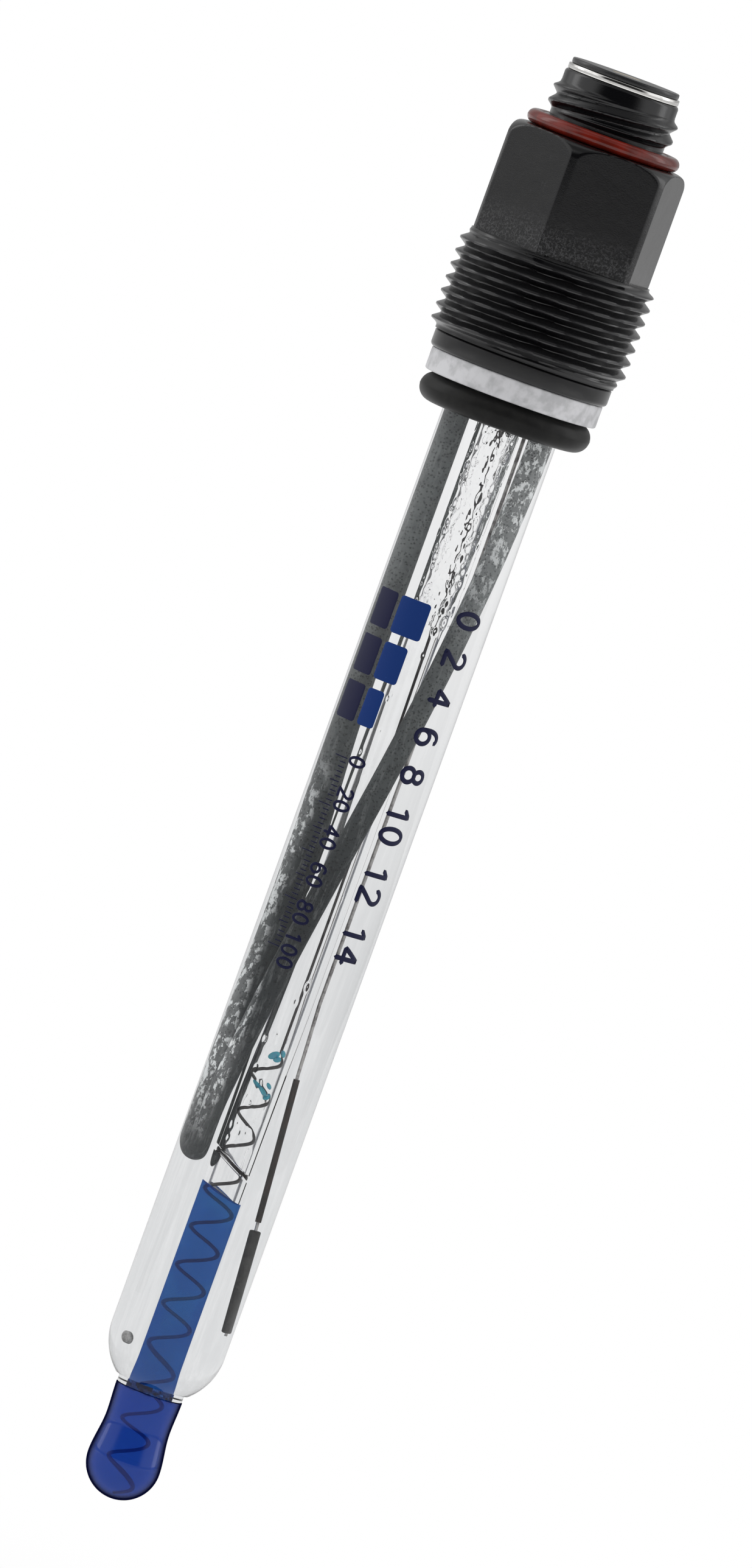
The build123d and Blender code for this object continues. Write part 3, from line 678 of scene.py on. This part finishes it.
def add_stroke(shell, path, half_width, place_angle, place_z):
    """A flat stroke of ink on the shaft: a path in (down the shaft, round the shaft) millimetres, with a low
    rounded section across it and round ends."""
    path = even_steps(path, half_width * 0.6)
    along = np.gradient(path, axis=0)
    along /= np.maximum(np.linalg.norm(along, axis=1), 1e-9)[:, None]
    side = np.stack([-along[:, 1], along[:, 0]], axis=1)
    ends = path[0] - along[0] * half_width, path[-1] + along[-1] * half_width
    across = half_width * np.array([-1.0, -0.75, 0.75, 1.0])
    lift = INK_THICKNESS * np.array([0.15, 1.0, 1.0, 0.15]) + INK_GAP
    flat = path[:, None] + side[:, None] * across[None, :, None]
    shell.grid(around(SHAFT_RADIUS + lift, place_angle + flat[..., 1] / SHAFT_RADIUS, place_z - flat[..., 0]),
               poles=tuple(around(SHAFT_RADIUS + INK_GAP + INK_THICKNESS / 2, place_angle + end[1] / SHAFT_RADIUS,
                                  place_z - end[0]) for end in ends), flip=True)


def number_width(text, size):
    """The printed width of a number."""
    return DIGIT_STEP * size * (len(text) - 1) + DIGIT_WIDTH * size


def add_number(shell, text, size, half_width, place_angle, place_z):
    """A number that reads down the shaft, centred on its place, its foot towards smaller angles."""
    for place, digit in enumerate(text):
        for stroke in digit_strokes(digit):
            path = stroke * size + [place * DIGIT_STEP * size - number_width(text, size) / 2, -size / 2]
            add_stroke(shell, path, half_width, place_angle, place_z)


def add_bar(shell, low_angle, high_angle, top, height, corner=0.35):
    """A plain printed bar with round corners: rows of points between both ends, each row shorter by the
    corner's arc, c - sqrt(c^2 - d^2), and slightly proud of the glass."""
    rows = np.concatenate([[0.0], corner * (1 - np.cos(np.linspace(0.3, math.pi / 2, 6))),
                           height - corner * (1 - np.cos(np.linspace(math.pi / 2, 0.3, 6))), [height]])
    inside = np.clip(corner - np.minimum(rows, height - rows), 0, corner)
    short = corner - np.sqrt(corner ** 2 - inside ** 2)
    share = np.linspace(0, 1, 24)[None]
    start, end = (math.radians(angle) * SHAFT_RADIUS for angle in (low_angle, high_angle))
    across = (start + short)[:, None] * (1 - share) + (end - short)[:, None] * share
    lift = np.full(across.shape, INK_GAP + INK_THICKNESS)
    lift[[0, -1]] = lift[:, [0, -1]] = INK_GAP
    shell.grid(around(SHAFT_RADIUS + lift, across / SHAFT_RADIUS, (top - rows)[:, None]), close_columns=False)


def dress(names, finish):
    """Gives each named node of the part one finish."""
    for name in names:
        NODES[name].data.materials.clear()
        NODES[name].data.materials.append(finish)


def length(name, description, default):
    """A length that the panel shows, given in millimetres."""
    return bpy.props.FloatProperty(name=name, description=description, default=default * MM, min=0.5 * MM,
                                   max=5 * MM, precision=5, unit="LENGTH")


def hue(name, description, default):
    """A colour that the panel shows."""
    return bpy.props.FloatVectorProperty(name=name, description=description, default=default, subtype="COLOR",
                                         min=0, max=1)


class ElectrodeSizes(bpy.types.PropertyGroup):
    """Sizes that only the looks need."""

    process_pitch: length("Process thread pitch", "Rise of the large thread in one turn", 1.411)
    plug_pitch: length("Plug thread pitch", "Distance between the crests of the small thread", 1.6)
    numeral_height: length("Numeral height", "Height of the large printed numerals", 2.7)
    drop_seed: bpy.props.IntProperty(
        name="Drops", description="Picks another scatter of drops in the stem", default=7, min=0)


class ElectrodeColours(bpy.types.PropertyGroup):
    """Colours of the main finishes."""

    head: hue("Head", "Black moulded plastic", (0.0025, 0.0025, 0.003))
    washer: hue("Washer", "Pale plastic washer", (0.36, 0.36, 0.37))
    red_seal: hue("Red seal", "Red rubber seal", (0.13, 0.009, 0.004))
    filling: hue("Filling", "Blue of the filling", (0.012, 0.055, 0.3))
    filling_pale: hue("Pale filling", "Paler blue in the filling's swirls", (0.022, 0.12, 0.36))
    filling_clear: hue("Clear filling", "Colour that one crossing of the filling's surface gives",
                       (0.15, 0.38, 0.66))
    filling_density: bpy.props.FloatProperty(
        name="Filling density", description="Share of the filling's look that is its own blue",
        default=0.3, min=0, max=1, subtype="FACTOR")
    droplet: hue("Droplets", "Teal of the small drops", (0.01, 0.28, 0.36))
    cord: hue("Cord", "Grey of the soft cord", (0.028, 0.032, 0.034))
    cord_pale: hue("Pale cord", "Paler grey of the soft cord", (0.125, 0.135, 0.135))


def settings():
    """The sizes and the colours, which the scene keeps."""
    return bpy.context.scene.electrode_sizes, bpy.context.scene.electrode_colours


class ELECTRODE_OT_head(bpy.types.Operator):
    """Makes the head moulding with both threads and the hexagon"""

    bl_idname = "electrode.head"
    bl_label = "Head"

    def execute(self, context):
        sizes, colours = settings()
        rings = head_surface(sizes)
        made = Shell().grid(rings, close_rows=True).piece("head_moulding", [head_plastic(colours)], 38)
        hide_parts("head_body")
        return {"FINISHED"}


class ELECTRODE_OT_contacts(bpy.types.Operator):
    """Makes the plug's contact ring and its insulating disc, and dresses the centre contact"""

    bl_idname = "electrode.contacts"
    bl_label = "Plug contacts"

    def execute(self, context):
        ring = ring_piece("plug_contact_ring", [(2.65, 30.7), (5.85, 30.7), (5.85, 31.3), (2.65, 31.3)], 0.12,
                          turned_metal("contact_metal", (0.86, 0.85, 0.83), (0.62, 0.6, 0.57)))
        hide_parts("contact_ring")
        disc = ring_piece("plug_disc", [(0.9, 27.3), (2.6, 27.3), (2.6, 31.3), (5.65, 31.3), (5.65, 31.9),
                                        (1.5, 31.9), (1.5, 31.55), (0.9, 31.55)], 0.2,
                          gloss_plastic("disc_plastic", (0.014, 0.014, 0.015), (0.05, 0.05, 0.05)))
        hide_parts("contact_insulator")
        dress(["centre_contact"], turned_metal("contact_brass", (0.83, 0.64, 0.32), (0.5, 0.36, 0.17), 0.18))
        return {"FINISHED"}


class ELECTRODE_OT_seals(bpy.types.Operator):
    """Makes the red seal, the pale washer and the black seal"""

    bl_idname = "electrode.seals"
    bl_label = "Seals and washer"

    def execute(self, context):
        colours = settings()[1]
        red = seal_rubber("red_rubber", colours.red_seal, (0.07, 0.006, 0.003), 0.06, 0.45)
        black = seal_rubber("black_rubber", (0.008, 0.008, 0.008), (0.012, 0.012, 0.0115), 0.3, 0.12)
        for name, node, slot, finish, centre, level, section in (
                ("red_seal", "plug_ring", "red_rubber", red, 7.3, 25.05, 0.75),
                ("shaft_seal", "shaft_ring", "black_rubber", black, 7.52, -3.85, 1.5)):
            turn = turn_angles(48)[:, None]
            flash = 0.02 * np.exp(-((np.abs(np.sin(turn)) / 0.05) ** 2))
            radius = centre + (section - 0.02 + flash) * np.cos(turn)
            z = level + (section - 0.02 + flash) * np.sin(turn)
            made = Shell().grid(around(radius, turn_angles(180)[None], z), close_rows=True).piece(name, [finish])
            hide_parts(node)
        washer = ring_piece("pale_washer", [(6.05, -2.35), (9.05, -2.35), (9.05, 0.0), (6.05, 0.0)], 0.24,
                            washer_plastic(colours))
        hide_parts("thrust_washer")
        return {"FINISHED"}


class ELECTRODE_OT_glass(bpy.types.Operator):
    """Makes the clear body of shaft, gel and stem with its wet bore, and the bulb's glass"""

    bl_idname = "electrode.glass"
    bl_label = "Glass"

    def execute(self, context):
        sizes = settings()[0]
        angle = turn_angles(144)[None]
        film_high, film_low = (FILM_LEVEL + side * FILM_THICKNESS / 2 for side in (1, -1))
        outer = np.concatenate([
            [(1.2, BULB_TOP + SEAM_GAP), (NECK_RADIUS - 0.1, BULB_TOP + SEAM_GAP),
             (NECK_RADIUS, BULB_TOP + 0.1), (NECK_RADIUS, NECK_TOP - 0.05), (NECK_RADIUS + 0.06, NECK_TOP)],
            shoulder_profile(),
            np.stack([np.full(30, SHAFT_RADIUS), np.linspace(SHOULDER_START + 1, GLASS_TOP, 30)], axis=1),
            [(SHAFT_BORE_RADIUS, GLASS_TOP), (SHAFT_BORE_RADIUS, GEL_TOP), (STEM_RADIUS, GEL_TOP),
             (STEM_RADIUS, STEM_TOP), (STOPPER_BORE, STEM_TOP), (STOPPER_BORE, 6.0)]])
        z = np.linspace(5.0, FILM_LEVEL + 1.6, 430)[:, None]
        bore_rings = around(wet_bore(angle, z, sizes), angle, z)
        film_top = liquid_surface(film_high, FILM_SLOPE, np.linspace(1.0, 0.1, 16), angle)
        slots = np.concatenate([np.zeros(len(outer)), np.ones(len(bore_rings) + len(film_top))])
        shell = Shell()
        shell.grid(np.concatenate([turned(outer, 144), bore_rings, film_top]), slots=slots,
                   poles=(around(0, 0, BULB_TOP + SEAM_GAP), around(0, 0, film_high)))
        wall = np.linspace(0.1, 1.0, 16)
        low = liquid_surface(FILLING_TOP + 0.04, FILLING_SLOPE, wall, angle)
        high = liquid_surface(film_low, FILM_SLOPE, wall[::-1], angle, -SURFACE_RISE)
        shell.grid(np.concatenate([low, high]), slots=1, flip=True,
                   poles=(around(0, 0, FILLING_TOP + 0.04), around(0, 0, film_low)))
        tint = (0.86, 0.865, 0.87)
        body = shell.piece("clear_body", [
            clear_glass("shaft_glass", tint, (0.42, 0.43, 0.45), 0.7, 0.98, lower_tint=(0.68, 0.69, 0.7)),
            clear_glass("bore_glass", (1.0, 1.0, 1.0), (0.02, 0.022, 0.03), 0.37, 0.58)], 35)
        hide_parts("glass_shaft", "inner_stem", "reference_gel")

        outline = np.concatenate([bulb_profile(0), [(BULB_TOP_RADIUS - 0.3, BULB_TOP), (1.2, BULB_TOP)]])
        shell = Shell().grid(turned(outline, 128), poles=(around(0, 0, TIP), around(0, 0, BULB_TOP)))
        bulb = shell.piece("bulb_glass", [
            clear_glass("membrane_glass", (0.62, 0.53, 0.84), (0.002, 0.003, 0.022), 0.36, 0.72, 1.35,
                        clear_rim=False)], 35)
        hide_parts("membrane_bulb")
        return {"FINISHED"}


class ELECTRODE_OT_filling(bpy.types.Operator):
    """Makes the blue filling with its sloping surface, and the teal drops above it"""

    bl_idname = "electrode.filling"
    bl_label = "Blue filling"

    def execute(self, context):
        colours = settings()[1]
        z = np.linspace(FLARE_LOW, FLARE_HIGH, 14)
        flare = np.stack([FOOT_BORE + (STEM_BORE - FOOT_BORE) * ramp(z, FLARE_LOW, FLARE_HIGH), z], axis=1)
        lower = np.concatenate([bulb_profile(MEMBRANE), [(FOOT_BORE, BULB_TOP)], flare])
        top = liquid_surface(FILLING_TOP, FILLING_SLOPE, np.linspace(1.0, 0.1, 14), turn_angles(96)[None])
        shell = Shell().grid(np.concatenate([turned(lower, 96), top]),
                             poles=(around(0, 0, TIP + MEMBRANE), around(0, 0, FILLING_TOP)))
        made = shell.piece("blue_filling", [blue_liquid(colours)], 40)
        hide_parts("inner_buffer")

        shell = Shell()
        turn = np.linspace(0, math.pi, 9)[1:-1, None]
        for place_angle, level, tall, wide, slant in (
                (8, -72.2, 0.42, 0.5, 0.5), (38, -71.8, 0.34, 0.32, -0.4), (24, -72.5, 0.3, 0.4, 0.2),
                (-12, -75.5, 0.24, 0.5, -0.5), (14, -76.0, 0.3, 0.55, -0.7), (34, -76.4, 0.3, 0.34, 0.5),
                (28, -75.3, 0.26, 0.3, -0.6)):
            across = wide * np.sin(turn) * np.cos(turn_angles(24)[None])
            up = -tall * np.cos(turn) + slant * across
            out = STEM_BORE - 0.17 + 0.11 * np.sin(turn) * np.sin(turn_angles(24)[None])
            centre = math.radians(place_angle)
            shell.grid(around(out, centre + across / STEM_BORE, level + up),
                       poles=(around(STEM_BORE - 0.17, centre, level - tall),
                              around(STEM_BORE - 0.17, centre, level + tall)), flip=True)
        drops = shell.piece("teal_droplets", [droplet_finish(colours)])
        return {"FINISHED"}


class ELECTRODE_OT_inner_parts(bpy.types.Operator):
    """Dresses the cord, the wires, the element, the junction and what the head hides"""

    bl_idname = "electrode.inner_parts"
    bl_label = "Inner parts"

    def execute(self, context):
        colours = settings()[1]
        dress(["compensation_cord"], cord_foam(colours))
        dress(["inner_lead"], fine_wire("lead_metal", (0.05, 0.045, 0.045), (0.012, 0.011, 0.014), 0.35))
        dress(["reference_wire"], fine_wire("silver_wire", (0.42, 0.41, 0.4), (0.13, 0.12, 0.12), 0.3))
        for nodes, *look in (
                (["wire_sleeve"], "black_insulation", (0.003, 0.003, 0.003), (0.02, 0.009, 0.006), 2.2, 0.02, 0.4,
                 0.05),
                (["reference_element"], "silver_chloride", (0.006, 0.006, 0.006), (0.035, 0.034, 0.033), 6.0, 0.08,
                 0.6, 0.05),
                (["ceramic_junction"], "ceramic", (0.1, 0.1, 0.1), (0.3, 0.3, 0.3), 2.0, 0.02, 0.8, 0.05),
                (["gel_stopper", "stem_stopper"], "stopper_rubber", (0.34, 0.34, 0.34), (0.45, 0.45, 0.44), 3.0,
                 0.03, 0.6),
                (["inner_lead_sleeve", "reference_sleeve"], "sleeve_plastic", (0.62, 0.62, 0.6), (0.75, 0.75, 0.73),
                 2.0, 0.01, 0.45),
                (["centre_solder", "ring_solder"], "solder", (0.45, 0.45, 0.46), (0.62, 0.62, 0.63), 4.0, 0.02, 0.3),
                (["potting"], "resin", (0.03, 0.03, 0.03), (0.055, 0.053, 0.05), 1.2, 0.01, 0.25)):
            dress(nodes, grain_finish(*look))
        return {"FINISHED"}


class ELECTRODE_OT_print(bpy.types.Operator):
    """Prints plain numerals, a scale and plain bars on the shaft"""

    bl_idname = "electrode.print"
    bl_label = "Print"

    def execute(self, context):
        sizes = settings()[0]
        navy = printed_ink("navy_ink", (0.006, 0.007, 0.03))
        blue = printed_ink("blue_ink", (0.004, 0.025, 0.13))

        shell = Shell()
        size = sizes.numeral_height / MM
        numbers = [str(number) for number in range(0, 15, 2)]
        wide = np.array([number_width(number, size) for number in numbers])
        levels = -23.7 - np.cumsum(wide) + wide / 2 - np.arange(len(wide)) * 2.5
        for number, level in zip(numbers, levels):
            add_number(shell, number, size, 0.25, math.radians(39.5), level)
        for number, level in zip(range(0, 101, 20), np.linspace(-41.5, -61.5, 6)):
            add_number(shell, str(number), 1.6, 0.15, math.radians(-19.0), level)
        numerals = shell.piece("printed_numerals", [navy])

        shell = Shell()
        for number in range(41):
            long = 1.5 if number % 10 == 0 else 1.1 if number % 5 == 0 else 0.7
            z = -41.5 - number * 0.5
            add_stroke(shell, np.array([(0.0, 0.0), (0.0, -long)]), 0.06, math.radians(-30.0), z)
        scale = shell.piece("printed_scale", [navy])

        shell = Shell()
        dark_shell = Shell()
        for place, high in enumerate((-2.0, -9.0, -16.0)):
            add_bar(shell, -34.0, high, -24.2 - place * 4.9, 3.9)
            add_bar(dark_shell, -68.0, -38.0, -24.2 - place * 4.9, 3.9)
        for bars in (shell.piece("blue_bars", [blue]), dark_shell.piece("navy_bars", [navy])):
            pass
        return {"FINISHED"}


class ELECTRODE_OT_stage(bpy.types.Operator):
    """Sets up the floor, the white surroundings, the lamps and the camera"""

    bl_idname = "electrode.stage"
    bl_label = "Stage"

    def execute(self, context):
        context.scene.view_settings.view_transform = "Standard"
        self.make_world()
        self.make_floor()
        self.make_lamps()
        self.make_camera()
        return {"FINISHED"}

    def make_world(self):
        """White where the eye or the glass looks straight at it. In reflections both sides are white with a brighter
        strip, and the room behind the camera, the far side and the ceiling are darker. As light it is dimmer."""
        recipe = Recipe(bpy.data.worlds.new("studio"))
        bpy.context.scene.world = recipe.owner
        seen, through, gloss = recipe.rays("Camera", "Transmission", "Glossy")
        behind, above = recipe.parts(recipe.node("ShaderNodeTexCoord").outputs["Generated"], "Y", "Z")
        room = (behind * -1).between(0.5, 0.8)
        strips = behind.between(0.02, 0.1) * (1 - behind.between(0.3, 0.4))
        far_side = behind.between(0.5, 0.75)
        ceiling = (above * above).between(0.3, 0.8)
        reflected = 0.02 + (0.98 + strips * 1.3) * (1 - room) * (1 - 0.6 * far_side) * (1 - 0.75 * ceiling)
        direct = seen.highest(through)
        strength = direct + (1 - direct) * (gloss * reflected + (1 - gloss) * 0.62)
        light = recipe.node("ShaderNodeBackground", {"Color": (1, 1, 1, 1), "Strength": strength})
        recipe.node("ShaderNodeOutputWorld", {"Surface": light.outputs[0]})

    def make_floor(self):
        """A large pale floor below the tip. It shows the object's shadow near by and is plain white further out."""
        half, level = 12.0, (TIP - 30.0) * MM
        mesh = bpy.data.meshes.new("floor")
        mesh.from_pydata([(-half, -half, level), (half, -half, level), (half, half, level), (-half, half, level)],
                         [], [(0, 1, 2, 3)])
        floor = scene_object("floor", mesh)
        recipe = new_finish("floor")
        seen, through = recipe.rays("Camera", "Transmission")
        near = 1 - (recipe.out_from_axis() * MM).between(0.05, 0.22)
        paper = recipe.surface(Base_Color=recipe.tint((0.9, 0.9, 0.9), (0.94, 0.94, 0.94), recipe.noise(0.02)),
                               Roughness=0.9, Specular_IOR_Level=0.1)
        white = recipe.node("ShaderNodeEmission", {"Color": (1, 1, 1, 1), "Strength": 1.0}).outputs[0]
        mesh.materials.append(recipe.end(recipe.blend(paper, white, seen.highest(through) * (1 - near * 0.45))))

    def make_lamps(self):
        """Two tall softboxes at the sides and a wide one above."""
        target = Vector((0, 0, -0.045))
        for name, azimuth, elevation, distance, wide, tall, power in (
                ("left_softbox", -78, 6, 0.85, 0.62, 1.2, 5.2),
                ("right_softbox", 74, 8, 0.9, 0.55, 1.2, 4.6),
                ("top_softbox", 10, 74, 0.9, 0.7, 0.7, 2.2)):
            a, e = math.radians(azimuth), math.radians(elevation)
            way = Vector((math.sin(a) * math.cos(e), -math.cos(a) * math.cos(e), math.sin(e)))
            data = bpy.data.lights.new(name, "AREA")
            data.shape, data.size, data.size_y, data.energy = "RECTANGLE", wide, tall, power
            lamp = scene_object(name, data)
            lamp.location = target + way * distance
            lamp.rotation_euler = way.to_track_quat("Z", "Y").to_euler()
            lamp.visible_transmission = lamp.visible_glossy = False

    def make_camera(self):
        """A long lens, a little above the horizon and rolled, because the electrode leans in the picture."""
        roll, rise = math.radians(19.95), math.radians(4.2)
        picture_height, lens, sensor = 0.15698, 400.0, 36.0
        target = Vector((0.00058, 0, -0.0433))
        back = Vector((0, -math.cos(rise), math.sin(rise)))
        level_right = Vector((1, 0, 0))
        level_up = back.cross(level_right)
        right = level_right * math.cos(roll) + level_up * math.sin(roll)
        up = level_up * math.cos(roll) - level_right * math.sin(roll)
        data = bpy.data.cameras.new("camera")
        data.lens, data.sensor_width, data.clip_start, data.clip_end = lens, sensor, 0.05, 60.0
        camera = scene_object("camera", data)
        turn = Matrix((right, up, back)).transposed()
        camera.matrix_world = Matrix.Translation(target + back * (picture_height * lens / sensor)) @ turn.to_4x4()
        bpy.context.scene.camera = camera


STEPS = (ELECTRODE_OT_head, ELECTRODE_OT_contacts, ELECTRODE_OT_seals, ELECTRODE_OT_glass,
         ELECTRODE_OT_filling, ELECTRODE_OT_inner_parts, ELECTRODE_OT_print, ELECTRODE_OT_stage)


class ELECTRODE_PT_looks(bpy.types.Panel):
    """Lists the sizes, the colours and the steps"""

    bl_idname = "ELECTRODE_PT_looks"
    bl_label = "Electrode"
    bl_space_type = "VIEW_3D"
    bl_region_type = "UI"
    bl_category = "Electrode"

    def draw(self, context):
        for group in settings():
            for key in group.__annotations__:
                self.layout.prop(group, key)
        for step in STEPS:
            self.layout.operator(step.bl_idname)


CLASSES = (ElectrodeSizes, ElectrodeColours, *STEPS, ELECTRODE_PT_looks)


def register():
    for known in CLASSES:
        bpy.utils.register_class(known)
    bpy.types.Scene.electrode_sizes = bpy.props.PointerProperty(type=ElectrodeSizes)
    bpy.types.Scene.electrode_colours = bpy.props.PointerProperty(type=ElectrodeColours)


def unregister():
    del bpy.types.Scene.electrode_colours
    del bpy.types.Scene.electrode_sizes
    for known in reversed(CLASSES):
        bpy.utils.unregister_class(known)


def main():
    """Runs every step in order."""
    register()
    for step in STEPS:
        group, name = step.bl_idname.split(".")
        getattr(getattr(bpy.ops, group), name)()


if __name__ == "__main__":
    main()
